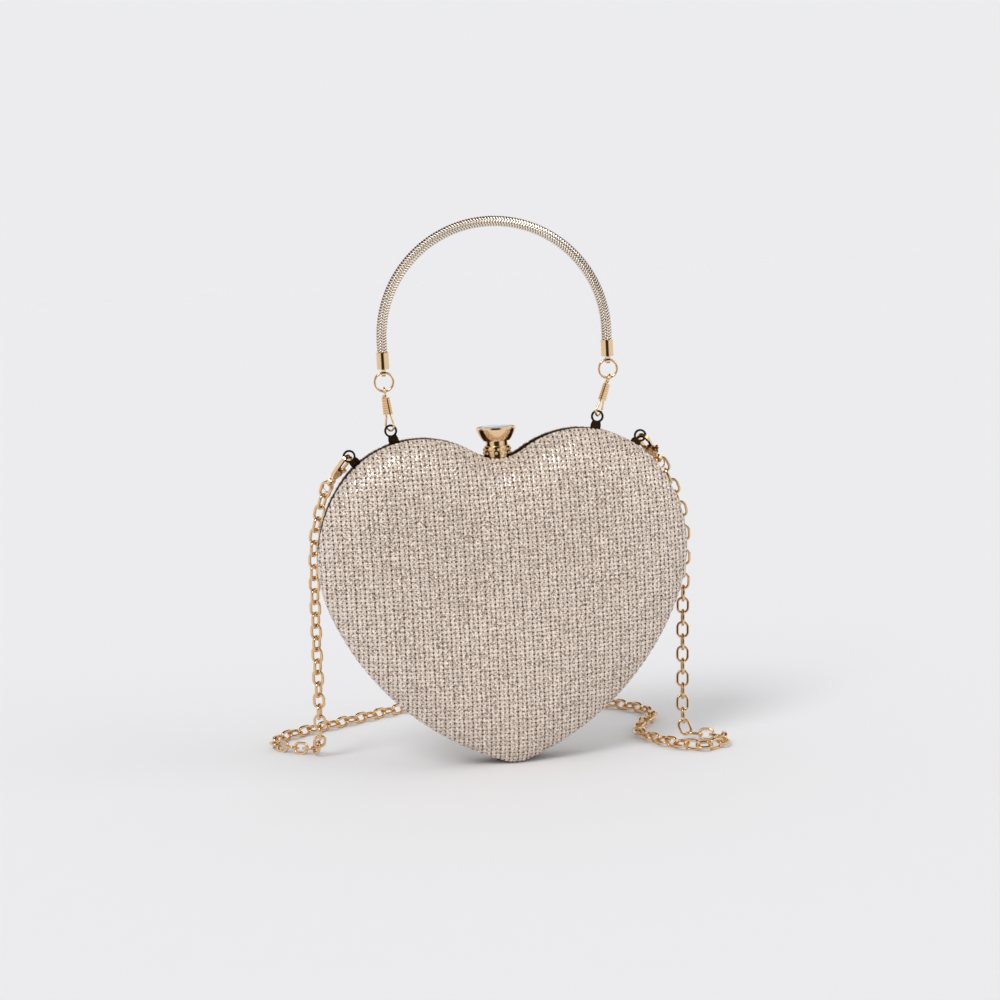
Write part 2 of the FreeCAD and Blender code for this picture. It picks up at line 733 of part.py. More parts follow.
# Lobster clasps: built hanging from the eyelet along +Z, then turned to hang down and out
def placed_lobster(shape, side):
    shape.rotate(V(0, 0, 0), Z_AXIS, side * lobster_turn)
    shape.rotate(V(0, 0, 0), X_AXIS, 180 + lobster_back_angle)
    shape.rotate(V(0, 0, 0), Y_AXIS, -side * lobster_out_angle)
    shape.translate(tab_place(strap_tab_angle, strap_tab_reach, side))
    return shape


hook_in = lobster_hook_radius - lobster_bar / 2
hook_out = lobster_hook_radius + lobster_bar / 2
lever_pivot = V(lever_pivot_offset, 0, lobster_pivot_drop)


def plate_xz(wire, thickness):
    """Flat plate, centred on y = 0, from an outline in the plane y = 0."""
    plate = Part.Face(wire).extrude(V(0, thickness, 0))
    plate.translate(V(0, -thickness / 2, 0))
    return plate


def disc_y(radius, x, z, thickness):
    return Part.makeCylinder(radius, thickness, V(x, -thickness / 2, z), Y_AXIS)


def lobster_body():
    thick = lobster_thickness
    hook = disc_y(hook_out, 0, lobster_hook_radius, thick)
    hook = hook.cut(box(-2 * hook_out, 2 * hook_out, -thick, thick, lobster_hook_radius, 4 * hook_out))
    leg = box(-hook_out, -hook_in, -thick / 2, thick / 2, lobster_hook_radius, lobster_pivot_drop)
    nose = box(hook_in, hook_out, -thick / 2, thick / 2, lobster_hook_radius, lobster_hook_radius + lobster_nose)
    hub = disc_y(lobster_hub_radius, 0, lobster_pivot_drop, thick)
    neck = box(-lobster_neck_width / 2, lobster_neck_width / 2, -thick / 2, thick / 2,
               lobster_pivot_drop, lobster_tail_drop)
    tail = disc_y(lobster_tail_radius, 0, lobster_tail_drop, thick)
    body = hook.fuse([leg, nose, hub, neck, tail])
    body = body.cut(disc_y(hook_in, 0, lobster_hook_radius, 2 * thick))
    body = body.cut(disc_y(lobster_tail_hole, 0, lobster_tail_drop, 2 * thick))
    slot = lever_thickness / 2 + lever_slot_clearance
    room = lever_hub_radius + lever_slot_clearance
    body = body.cut(box(lever_pivot.x - room, 2 * hook_out, -slot, slot, lobster_pivot_drop - lobster_hub_radius,
                        lobster_pivot_drop + room))
    body = body.cut(disc_y(lever_pin_radius + pin_running_gap, lever_pivot.x, lever_pivot.z, 2 * thick))
    return body.removeSplitter()


def lobster_lever():
    """Sprung arm from the pivot to the nose, with a rounded thumb piece."""
    tip_x = lobster_hook_radius
    tip_z = lobster_hook_radius + lobster_nose + lever_gap
    half = lever_arm_width / 2
    arm = plate_xz(Part.makePolygon([
        V(tip_x - half, 0, tip_z), V(tip_x + half, 0, tip_z),
        V(lever_pivot.x + lever_hub_radius, 0, lever_pivot.z), V(lever_pivot.x, 0, lever_pivot.z),
        V(tip_x - half, 0, tip_z)]), lever_thickness)
    thumb_z = lobster_pivot_drop - lobster_hub_radius / 2
    thumb = disc_y(lever_thumb_radius, lever_thumb_reach, thumb_z, lever_thickness)
    root = plate_xz(Part.makePolygon([
        V(lever_pivot.x, 0, lever_pivot.z - lever_hub_radius), V(lever_thumb_reach, 0, thumb_z - lever_thumb_radius),
        V(lever_thumb_reach, 0, thumb_z + lever_thumb_radius), V(lever_pivot.x, 0, lever_pivot.z + lever_hub_radius / 2),
        V(lever_pivot.x, 0, lever_pivot.z - lever_hub_radius)]), lever_thickness)
    hub = disc_y(lever_hub_radius, lever_pivot.x, lever_pivot.z, lever_thickness)
    lever = hub.fuse([arm, root, thumb])
    return lever.cut(disc_y(lever_pin_radius + pin_running_gap, lever_pivot.x, lever_pivot.z,
                            2 * lever_thickness)).removeSplitter()


def lobster_pin():
    return disc_y(lever_pin_radius, lever_pivot.x, lever_pivot.z, lobster_thickness)


strap_ring_z = lobster_tail_drop + strap_ring_radius


def strap_ring():
    return Part.makeTorus(strap_ring_radius, strap_ring_wire / 2, V(0, 0, strap_ring_z), X_AXIS)


# Shoulder chain: flat oval links set along one curve at an even pitch
def chain_end(side):
    """Where the first link bears on the strap ring."""
    reach = strap_ring_radius - strap_ring_wire / 2 - (link_length / 2 - link_end_bar - link_pitch / 2)
    mark = Part.Vertex(0, 0, strap_ring_z + reach)
    return placed_lobster(mark, side).Point


def chain_curve():
    poles = [chain_end(-1)] + [V(*place) for place in chain_route] + [chain_end(1)]
    spans = len(poles) - 2
    curve = Part.BSplineCurve()
    curve.buildFromPolesMultsKnots(poles, [3] + [1] * (spans - 1) + [3], list(range(spans + 1)), False, 2)
    return curve


def flat_link():
    """Elongated ring of flat wire, along X, with chamfered ends."""
    def ring(half_length, half_width):
        chamfer = half_width * 0.55
        corners = []
        for x, y in ((half_length, half_width - chamfer), (half_length - chamfer, half_width),
                     (chamfer - half_length, half_width), (-half_length, half_width - chamfer)):
            corners.append(V(x, y, -link_thickness / 2))
        corners += [V(-corner.x, -corner.y, corner.z) for corner in corners]
        return Part.Face(Part.makePolygon(corners + corners[:1]))

    outer = ring(link_length / 2, link_width / 2)
    inner = ring(link_length / 2 - link_end_bar, link_width / 2 - link_side_bar)
    return outer.cut(inner).extrude(V(0, 0, link_thickness))


def chain_links():
    curve = chain_curve()
    count = 2 * round(curve.length() / link_pitch / 2)
    points = curve.discretize(Number=count + 1)
    pattern = flat_link()
    links = []
    for i in range(count):
        start, end = points[i], points[i + 1]
        along = (end - start).normalize()
        upright = abs(along.z)
        hanging_face = V(math.copysign(1, start.x), -math.copysign(1, start.x), 0).normalize()
        face = Z_AXIS * (1 - upright) + hanging_face * upright
        across = along.cross(face).normalize()
        face = across.cross(along)
        roll = 45 if i % 2 else -45
        normal = face * cos_deg(roll) + across * sin_deg(roll)
        rotation = FreeCAD.Rotation(along, normal.cross(along), normal, "XZY")
        link = pattern.copy()
        link.Placement = FreeCAD.Placement((start + end) * 0.5, rotation)
        links.append(link)
    print("shoulder chain length", round(curve.length(), 1), "links", count,
          "pitch", round(curve.length() / count, 3))
    return links


os.makedirs("parts", exist_ok=True)

export(rear_frame, "rear_frame")
export(front_frame, "front_frame")
export(hinge_pin(), "hinge_pin")
export(rear_cover, "rear_cover")
export(front_cover, "front_cover")
export(rear_shell, "rear_shell")
export(front_shell, "front_shell")
export(rear_lining, "rear_lining")
export(front_lining, "front_lining")
export(collar, "clasp_collar")
export(Part.makeCompound(stones), "clasp_collar_stones")
export(clasp_nut(), "clasp_nut")
export(clasp_button(), "clasp_button")
export(clasp_crystal(), "clasp_crystal")
export(clasp_spring(), "clasp_spring")
export(clasp_latch(), "clasp_latch")
export(catch_plate(), "catch_plate")
for node, tab in tabs.items():
    export(tab, node)
for side_name, side in (("left", -1), ("right", 1)):
    export(placed_clip(clip_hook(side), side), "handle_clip_hook_" + side_name)
    export(placed_clip(clip_sleeve(), side), "handle_clip_sleeve_" + side_name)
    export(placed_clip(clip_gate(), side), "handle_clip_gate_" + side_name)
    export(placed_handle(jump_ring(side * handle_span / 2)), "handle_ring_" + side_name)
    export(placed_handle(end_cap(side * handle_span / 2)), "handle_end_cap_" + side_name)
    export(placed_lobster(lobster_body(), side), "lobster_body_" + side_name)
    export(placed_lobster(lobster_lever(), side), "lobster_lever_" + side_name)
    export(placed_lobster(lobster_pin(), side), "lobster_pin_" + side_name)
    export(placed_lobster(strap_ring(), side), "strap_ring_" + side_name)
export(placed_handle(snake_chain()), "handle_snake_chain")

links = chain_links()
strands = {"shoulder_chain_left": [], "shoulder_chain_floor": [], "shoulder_chain_right": []}
for link in links:
    middle = link.BoundBox.Center
    if middle.z < strand_node_height:
        strands["shoulder_chain_floor"].append(link)
    elif middle.x < 0:
        strands["shoulder_chain_left"].append(link)
    else:
        strands["shoulder_chain_right"].append(link)
for node, group in strands.items():
    export(Part.makeCompound(group), node)

# Places of the pivots, for reference
print("heart width", round(2 * (side_x + side_radius), 2), "height", round(lobe_z + lobe_radius, 2),
      "notch", round(notch_z, 2), "lower radius", round(lower_radius, 2))
print("hinge axis", 0.0, 0.0, hinge_height)
print("ring pivots", pivot_left, pivot_right)
for side_name, side in (("left", -1), ("right", 1)):
    print("eyelet", side_name, tab_place(handle_tab_angle, handle_tab_reach, side))
    for name, place, mark in (("gate", placed_clip, V(leg_x, 0, sleeve_bottom + clip_wire / 2)),
                              ("lever", placed_lobster, lever_pivot)):
        start = place(Part.Vertex(mark), side).Point
        end = place(Part.Vertex(mark + Y_AXIS), side).Point
        print(name, side_name, "pivot", start, "axis", end - start)
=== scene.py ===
import math

import bpy
import numpy as np
from mathutils import Matrix, Vector


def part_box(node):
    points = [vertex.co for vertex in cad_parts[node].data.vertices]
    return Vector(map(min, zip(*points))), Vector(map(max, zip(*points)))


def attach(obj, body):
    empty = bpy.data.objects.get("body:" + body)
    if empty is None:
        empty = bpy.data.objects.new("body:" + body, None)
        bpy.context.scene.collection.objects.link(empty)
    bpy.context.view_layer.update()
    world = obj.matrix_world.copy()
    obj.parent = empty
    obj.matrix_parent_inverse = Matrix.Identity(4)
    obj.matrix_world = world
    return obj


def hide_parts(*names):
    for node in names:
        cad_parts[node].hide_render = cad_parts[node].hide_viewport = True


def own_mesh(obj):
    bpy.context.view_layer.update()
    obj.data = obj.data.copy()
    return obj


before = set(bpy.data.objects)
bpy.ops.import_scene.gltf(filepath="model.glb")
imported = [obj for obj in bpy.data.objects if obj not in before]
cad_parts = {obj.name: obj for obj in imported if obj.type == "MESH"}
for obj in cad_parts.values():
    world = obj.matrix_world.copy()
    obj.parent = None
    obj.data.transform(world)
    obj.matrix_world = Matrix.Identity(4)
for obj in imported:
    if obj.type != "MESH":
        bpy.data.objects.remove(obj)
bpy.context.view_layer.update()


# Helpers

def hexColour(code):  # sRGB hex to the linear values that shaders take
    parts = [int(code[i:i + 2], 16) / 255 for i in (1, 3, 5)]
    linear = [c / 12.92 if c <= 0.04045 else ((c + 0.055) / 1.055) ** 2.4 for c in parts]
    return (*linear, 1.0)


def addNode(tree, kind, settings=None, links=None):  # settings by property or socket name, links as socket: source
    node = tree.nodes.new(kind)
    for name, value in (settings or {}).items():
        if isinstance(name, int) or name in node.inputs:
            node.inputs[name].default_value = value
        else:
            setattr(node, name, value)
    for name, source in (links or {}).items():
        tree.links.new(source, node.inputs[name])
    return node


def feed(tree, socket, value):  # links a socket to another one, or sets it to a plain value
    if isinstance(value, bpy.types.NodeSocket):
        tree.links.new(value, socket)
    else:
        socket.default_value = value


def maths(tree, operation, *values):
    node = addNode(tree, "ShaderNodeMath", {"operation": operation})
    for socket, value in zip(node.inputs, values):
        feed(tree, socket, value)
    return node.outputs["Value"]


def ranged(tree, source, low, high, start=0.0, end=1.0):  # low to high becomes start to end, and goes no further
    settings = {"From Min": low, "From Max": high, "To Min": start, "To Max": end}
    return addNode(tree, "ShaderNodeMapRange", settings, {"Value": source}).outputs["Result"]


def mixColour(tree, share, first, second):
    node = addNode(tree, "ShaderNodeMix", {"data_type": "RGBA"})
    for index, value in ((0, share), (6, first), (7, second)):  # a colour mix keeps its sockets at these places
        feed(tree, node.inputs[index], value)
    return node.outputs[2]


def newMaterial(name):
    material = bpy.data.materials.new(name)
    material.use_nodes = True
    tree = material.node_tree
    tree.nodes.clear()
    return material, tree


def finishMaterial(tree, shader):
    addNode(tree, "ShaderNodeOutputMaterial", links={"Surface": shader})


def addPiece(name, data):
    piece = bpy.data.objects.new(name, data)
    bpy.context.scene.collection.objects.link(piece)
    return piece


def plainMesh(name, points, faces):
    mesh = bpy.data.meshes.new(name)
    mesh.from_pydata([tuple(p) for p in points], [], [tuple(f) for f in faces])
    mesh.update()
    return addPiece(name, mesh)


def newCurve(name, kind, points):
    data = bpy.data.curves.new(name, "CURVE")
    data.dimensions = "3D"
    spline = data.splines.new(kind)
    spline.points.add(len(points) - 1)
    for point, place in zip(spline.points, points):
        point.co = (*place, 1.0)
    return addPiece(name, data)


def openTree(name, sockets):  # a geometry tree with its named inputs and their identifiers
    tree = bpy.data.node_groups.new(name, "GeometryNodeTree")
    ids = {}
    for label, kind in sockets.items():
        ids[label] = tree.interface.new_socket(label, in_out="INPUT", socket_type="NodeSocket" + kind).identifier
    tree.interface.new_socket("Geometry", in_out="OUTPUT", socket_type="NodeSocketGeometry")
    return tree, ids, addNode(tree, "NodeGroupInput").outputs


def closeTree(tree, geometry, metal):
    real = addNode(tree, "GeometryNodeRealizeInstances", {}, {"Geometry": geometry})
    smooth = addNode(tree, "GeometryNodeSetShadeSmooth", {}, {"Geometry": real.outputs["Geometry"]})
    dressed = addNode(tree, "GeometryNodeSetMaterial", {}, {"Geometry": smooth.outputs["Geometry"], "Material": metal})
    addNode(tree, "NodeGroupOutput", {}, {"Geometry": dressed.outputs["Geometry"]})


def bakeNodes(name, source, tree, ids, values):  # runs a tree on a source piece and keeps the plain mesh that comes out
    modifier = source.modifiers.new("nodes", "NODES")
    modifier.node_group = tree
    for label, value in values.items():
        modifier[ids[label]] = value
    bpy.context.view_layer.update()
    seen = source.evaluated_get(bpy.context.evaluated_depsgraph_get())
    mesh = bpy.data.meshes.new_from_object(seen)
    mesh.name = name
    bpy.data.objects.remove(source)
    return addPiece(name, mesh)


# Materials

def goldMaterial(name, colour, roughness, edge="#FFFFFF", paintedGrooveShade=None):  # plated metal: mirror-like, warm, with painted shade in the grooves when a groove shade colour is given
    material, tree = newMaterial(name)
    place = addNode(tree, "ShaderNodeTexCoord").outputs["Object"]
    wear = addNode(tree, "ShaderNodeTexNoise", {"Scale": 900.0, "Detail": 2.0}, {"Vector": place}).outputs["Fac"]
    metal = addNode(tree, "ShaderNodeBsdfPrincipled", {
        "Base Color": hexColour(colour), "Metallic": 1.0, "Specular Tint": hexColour(edge)},
        {"Roughness": ranged(tree, wear, 0.0, 1.0, roughness * 0.8, roughness * 1.3)})
    # painted shade: the base colour darkens towards the groove shade colour where the stored valley mark is deep
    if paintedGrooveShade:
        valley = addNode(tree, "ShaderNodeAttribute", {"attribute_name": "valley"}).outputs["Fac"]
        grooveShadedColour = mixColour(tree, ranged(tree, valley, 0.35, 0.95), hexColour(colour), hexColour(paintedGrooveShade))
        tree.links.new(grooveShadedColour, metal.inputs["Base Color"])
    finishMaterial(tree, metal.outputs["BSDF"])
    return material


def cutGlassMaterial(name, colour, clear):  # cut stone: bright table, dark and light facets
    material, tree = newMaterial(name)
    glass = addNode(tree, "ShaderNodeBsdfPrincipled", {
        "Base Color": hexColour(colour), "Roughness": 0.02, "IOR": 1.6, "Transmission Weight": clear,
        "Specular IOR Level": 0.8})
    finishMaterial(tree, glass.outputs["BSDF"])
    return material


def satinMaterial():  # lining cloth: soft warm sheen, fine weave
    material, tree = newMaterial("satinLining")
    place = addNode(tree, "ShaderNodeTexCoord").outputs["Object"]
    weave = addNode(tree, "ShaderNodeTexWave", {"Scale": 600.0, "Distortion": 1.5}, {"Vector": place})
    bump = addNode(tree, "ShaderNodeBump", {"Strength": 0.08, "Distance": 0.0002}, {"Height": weave.outputs["Fac"]})
    cloth = addNode(tree, "ShaderNodeBsdfPrincipled", {
        "Base Color": hexColour("#C9B299"), "Roughness": 0.45, "Sheen Weight": 0.4},
        {"Normal": bump.outputs["Normal"]})
    finishMaterial(tree, cloth.outputs["BSDF"])
    return material


def plasticMaterial():  # moulded shell: dull, pale
    material, tree = newMaterial("mouldedPlastic")
    place = addNode(tree, "ShaderNodeTexCoord").outputs["Object"]
    grain = addNode(tree, "ShaderNodeTexNoise", {"Scale": 1500.0}, {"Vector": place})
    bump = addNode(tree, "ShaderNodeBump", {"Strength": 0.05, "Distance": 0.0001}, {"Height": grain.outputs["Fac"]})
    plastic = addNode(tree, "ShaderNodeBsdfPrincipled", {"Base Color": hexColour("#D8D2C8"), "Roughness": 0.5},
                      {"Normal": bump.outputs["Normal"]})
    finishMaterial(tree, plastic.outputs["BSDF"])
    return material


def steelMaterial():  # hidden spring, nut and latch: grey, brushed
    material, tree = newMaterial("plainSteel")
    place = addNode(tree, "ShaderNodeTexCoord").outputs["Object"]
    grain = addNode(tree, "ShaderNodeTexNoise", {"Scale": 700.0, "Detail": 3.0}, {"Vector": place}).outputs["Fac"]
    metal = addNode(tree, "ShaderNodeBsdfPrincipled", {"Base Color": hexColour("#B9BBBD"), "Metallic": 1.0},
                    {"Roughness": ranged(tree, grain, 0.0, 1.0, 0.25, 0.4)})
    finishMaterial(tree, metal.outputs["BSDF"])
    return material


knitLook = {
    "column": 0.00202,          # from column to column of stitches, metres
    "row": 0.00101,             # half the step from stitch to stitch in a column
    "secondColumn": 0.6,        # how much deeper every second column looks, as painted groove shade
    "slant": 0.5,               # how steeply the strands of a rib run down to its middle
    "yarn": "#FFEEDE",          # lit yarn
    "darkToneAndShade": "#7A5C48",          # darker yarn tone from fleck to fleck, and painted shade where strands turn away and in the rib grooves
    "shade": "#2C2119",         # in the stitch holes
    "glint": "#FFF4EA",         # metallic thread
    "holeReach": (0.9, 1.6),    # where a hole's edge starts and ends, of 2 at its middle
    "holeDark": (0.14, 0.86),   # change from column to column, and mean
    "strandShade": (-0.1, 0.2),  # painted shade where the strands turn away along a rib: change, and mean
    "fleckReach": (0.05, 0.95), "fleckDull": (-0.38, 0.72),  # change from fleck to fleck
    # painted shade in the grooves between the ribs
    "grooveReach": (0.3, 1.6),
    "ribGrooveShade": 0.55,
    "fleckLength": 0.00072,     # along a strand, metres
    "fleckWidth": 0.0004,
    "ribShift": 7.31,           # sets the flecks of one rib apart from the next
    "glintShare": 0.2,
    "glintMetal": 0.7,
    "glintRoughness": 0.25,
    "roughness": 0.5,
    "swayScale": 260.0,
    "sway": 0.0007,             # how far the yarn wanders, metres
    "holeBump": -1.6,
}


def wave(tree, source, period):  # cosine that comes round once in two periods
    return maths(tree, "COSINE", maths(tree, "MULTIPLY", source, math.pi / period))


def knitMaterial():  # rib knit with metallic thread: matt beige yarn with painted shade along the strands, in the rib grooves and in the stitch holes, bright scattered glints
    look = knitLook
    material, tree = newMaterial("glitterKnit")
    place = addNode(tree, "ShaderNodeTexCoord").outputs["Object"]
    noise = addNode(tree, "ShaderNodeTexNoise", {"Scale": look["swayScale"], "Detail": 1.0}, {"Vector": place})
    sway = addNode(tree, "ShaderNodeVectorMath", {
        "operation": "MULTIPLY_ADD", 1: (look["sway"],) * 3, 2: (-look["sway"] / 2,) * 3}, {0: noise.outputs["Color"]})
    drawn = addNode(tree, "ShaderNodeVectorMath", {"operation": "ADD"}, {0: place, 1: sway.outputs["Vector"]})
    part = addNode(tree, "ShaderNodeSeparateXYZ", {}, {"Vector": drawn.outputs["Vector"]}).outputs
    across, along = wave(tree, part["X"], look["column"] / 2), wave(tree, part["Z"], look["row"])
    second = wave(tree, part["X"], look["column"])

    stitch = ranged(tree, maths(tree, "ADD", across, along), *look["holeReach"])
    stitch.node.interpolation_type = "SMOOTHSTEP"
    hole = maths(tree, "MULTIPLY", stitch, maths(tree, "MULTIPLY_ADD", second, *look["holeDark"]))

    fold = maths(tree, "PINGPONG", part["X"], look["column"] / 2)  # across a rib to its middle and back
    lean = maths(tree, "MULTIPLY_ADD", fold, look["slant"], part["Z"])
    rib = maths(tree, "FLOOR", maths(tree, "MULTIPLY", part["X"], 2 / look["column"]))
    deep = maths(tree, "MULTIPLY", part["Y"], 1 / look["fleckLength"])
    cell = addNode(tree, "ShaderNodeCombineXYZ", {}, {
        "X": maths(tree, "MULTIPLY", fold, 1 / look["fleckLength"]),
        "Y": maths(tree, "ADD", maths(tree, "MULTIPLY", rib, look["ribShift"]), deep),
        "Z": maths(tree, "MULTIPLY", lean, 1 / look["fleckWidth"])})
    fleck = addNode(tree, "ShaderNodeTexVoronoi", {"Scale": 1.0}, {"Vector": cell.outputs["Vector"]})
    chance = addNode(tree, "ShaderNodeSeparateColor", {}, {"Color": fleck.outputs["Color"]}).outputs

    # painted shade where the strands turn away along a rib, added to the yarn's own darker tone that changes from fleck
    # to fleck
    strandShading = maths(tree, "MULTIPLY_ADD", wave(tree, lean, look["row"]), *look["strandShade"])
    darkToneAndShade = maths(tree, "ADD", ranged(tree, chance["Blue"], *look["fleckReach"], *look["fleckDull"]), strandShading)
    darkToneAndShade.node.use_clamp = True
    # painted shade in the grooves between the ribs, deeper in every second column
    ribGrooveMask = maths(tree, "MULTIPLY_ADD", second, look["secondColumn"], across)
    groove = ranged(tree, ribGrooveMask, *look["grooveReach"], 0.0, look["ribGrooveShade"])
    glint = ranged(tree, chance["Red"], 1 - look["glintShare"], 1 - look["glintShare"] * 0.6)
    yarn = mixColour(tree, maths(tree, "MAXIMUM", darkToneAndShade, groove), hexColour(look["yarn"]), hexColour(look["darkToneAndShade"]))
    lit = mixColour(tree, glint, yarn, hexColour(look["glint"]))

    height = maths(tree, "MULTIPLY_ADD", hole, look["holeBump"], chance["Green"])
    bump = addNode(tree, "ShaderNodeBump", {"Strength": 0.6, "Distance": 0.0003}, {"Height": height})
    cloth = addNode(tree, "ShaderNodeBsdfPrincipled", {"Sheen Weight": 0.1}, {
        # painted shade in the stitch holes
        "Base Color": mixColour(tree, hole, lit, hexColour(look["shade"])),
        "Metallic": maths(tree, "MULTIPLY", glint, look["glintMetal"]),
        "Roughness": ranged(tree, glint, 0.0, 1.0, look["roughness"], look["glintRoughness"]),
        "Normal": bump.outputs["Normal"]})
    finishMaterial(tree, cloth.outputs["BSDF"])
    return material


brightGold = goldMaterial("polishedGold", "#F2D0A4", 0.13)
chainGold = goldMaterial("chainGold", "#E9C598", 0.12)
# snake handle: pale gold with painted shade in the grooves between the bands
snakeGold = goldMaterial("snakeGold", "#FAEDDD", 0.2, paintedGrooveShade="#54412F")
# frame, hinge pin and strap tabs: dark brown colour and dark edge tint are painted dark reflection and recess shade on
# pale gold
framePaintedDarkGold = goldMaterial("framePaintedDarkGold", "#6A533A", 0.25, edge="#54442F")
cutGlass = cutGlassMaterial("cutGlass", "#F4F6F8", 0.55)
goldenGlass = cutGlassMaterial("goldenGlass", "#E2BC86", 0.2)
satinLining = satinMaterial()
mouldedPlastic = plasticMaterial()
plainSteel = steelMaterial()
glitterKnit = knitMaterial()
print("materials made")


def nodeLook(node):  # finish of a part that is carried over from the frame
    if node in ("rear_frame", "front_frame", "hinge_pin") or "_tab_" in node:
        return framePaintedDarkGold
    if node in ("clasp_spring", "clasp_nut", "clasp_latch"):
        return plainSteel
    if node.endswith("_lining"):
        return satinLining
    if node.endswith("_shell"):
        return mouldedPlastic
    return {"clasp_crystal": cutGlass, "clasp_collar_stones": goldenGlass}.get(node, brightGold)


for node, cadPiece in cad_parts.items():
    cadPiece.data.materials.clear()
    cadPiece.data.materials.append(nodeLook(node))
print("frame finished")


# Covers: a domed heart of tangent arcs, mirrored about x = 0, in metres

heart = {
    "lobeSpacing": 0.0717, "lobeRadius": 0.0444, "notchRadius": 0.0197, "sideRadius": 0.0604, "tipRadius": 0.0165,
    "lobeEnd": 50.5, "sideEnd": 111.0, "lowerEnd": 160.0,  # clock angles where one arc runs into the next
    "rim": 0.00505, "crown": 0.025, "centre": 0.088, "sidePower": 2.2,
    "step": 0.00057,        # mesh spacing along the rim
    "rimLength": 0.51, "halfWidth": 0.068,  # rough measures that only set the number of points
    "halveAt": 0.52,        # a ring loses every second point when it is this short for its points
    "fewest": 60,
    "hemScale": 0.984, "hemLift": 0.0014,  # the cloth turns in behind the rail
    "ribHeight": 0.00026, "holeDepth": 0.0003, "ribRest": 0.6,
}


def sinCos(angle):
    return math.sin(math.radians(angle)), math.cos(math.radians(angle))


def heartOutline(count):  # even points round the heart, from the tip up the right side and down the left
    lobe, notch, side, tip = (heart[name + "Radius"] for name in ("lobe", "notch", "side", "tip"))
    lobeX = heart["lobeSpacing"] / 2
    notchTurn = math.degrees(math.asin(lobeX / (notch + lobe)))
    lobeEnd, sideEnd, lowerEnd = heart["lobeEnd"], heart["sideEnd"], heart["lowerEnd"]
    (lobeSin, lobeCos), (sideSin, sideCos), (lowerSin, lowerCos) = map(sinCos, (lobeEnd, sideEnd, lowerEnd))
    sideX, sideZ = lobeX - (side - lobe) * lobeSin, -(side - lobe) * lobeCos
    lower = (sideX + side * sideSin - tip * lowerSin) / (sideSin - lowerSin)
    lowerX, lowerZ = sideX - (lower - side) * sideSin, sideZ - (lower - side) * sideCos
    tipZ = lowerZ + (lower - tip) * lowerCos
    lift = tip - tipZ
    notchZ = lift + (notch + lobe) * sinCos(notchTurn)[1]
    arcs = [  # centre x, z, radius, start and end clock angle, right half from tip to notch
        (0.0, tipZ + lift, tip, 180.0, lowerEnd), (lowerX, lowerZ + lift, lower, lowerEnd, sideEnd),
        (sideX, sideZ + lift, side, sideEnd, lobeEnd), (lobeX, lift, lobe, lobeEnd, -notchTurn),
        (0.0, notchZ, -notch, -notchTurn, 0.0)]
    points = []
    for x, z, radius, start, end in arcs:
        for angle in np.linspace(math.radians(start), math.radians(end), 400)[(1 if points else 0):]:
            points.append((x + radius * math.sin(angle), z + radius * math.cos(angle)))
    points = np.array(points)
    along = np.concatenate([[0], np.cumsum(np.linalg.norm(np.diff(points, axis=0), axis=1))])
    even = np.linspace(0, along[-1], count // 2 + 1)
    right = np.stack([np.interp(even, along, points[:, 0]), np.interp(even, along, points[:, 1])], axis=1)
    left = right[-2:0:-1] * np.array([-1.0, 1.0])
    return np.concatenate([right, left])


def stitchRelief(x, z):  # ribs stand up between the columns of stitches, and each stitch sinks in
    across, along = np.cos(2 * math.pi * x / knitLook["column"]), np.cos(math.pi * z / knitLook["row"])
    rib = 0.5 - 0.5 * across
    hole = np.clip((across + along) / 2, 0, 1) ** 3
    return heart["ribHeight"] * (rib - heart["ribRest"]) - heart["holeDepth"] * hole


def domeTurns():  # quarter turns from rim to crown, evenly spaced over the dome
    turns = np.linspace(0, 1, 4001)
    run = heart["halfWidth"] * (1 - np.cos(turns * math.pi / 2) ** (2 / heart["sidePower"]))
    rise = np.sin(turns * math.pi / 2)
    arc = np.concatenate([[0], np.cumsum(np.hypot(np.diff(run), np.diff(rise) * (heart["crown"] - heart["rim"])))])
    rows = int(arc[-1] / heart["step"])
    return np.interp(np.linspace(0, arc[-1], rows + 1), arc, turns)[:-1]


def domeRings(rimCount):
    rings, count = [], rimCount
    outline = heartOutline(count)
    for turn in domeTurns():
        scale = math.cos(turn * math.pi / 2) ** (2 / heart["sidePower"])
        if count > heart["fewest"] and scale < heart["halveAt"] * count / rimCount:
            count //= 2
            outline = heartOutline(count)
        ring = np.empty((count, 3))
        ring[:, 0] = outline[:, 0] * scale
        ring[:, 1] = heart["rim"] + (heart["crown"] - heart["rim"]) * math.sin(turn * math.pi / 2)
        ring[:, 2] = heart["centre"] + (outline[:, 1] - heart["centre"]) * scale
        rings.append(ring)
    return rings


def ringFaces(starts, counts):  # joins each ring to the next, which has as many points or half as many
    faces = []
    for k in range(len(starts) - 1):
        low, lowCount, high, highCount = starts[k], counts[k], starts[k + 1], counts[k + 1]
        for i in range(highCount):
            j = (i + 1) % highCount
            if lowCount == highCount:
                faces.append((low + i, low + j, high + j, high + i))
            else:
                faces.append((low + 2 * i, low + 2 * i + 1, high + i))
                faces.append((low + 2 * i + 1, high + j, high + i))
                faces.append((low + 2 * i + 1, low + (2 * i + 2) % lowCount, high + j))
    return faces


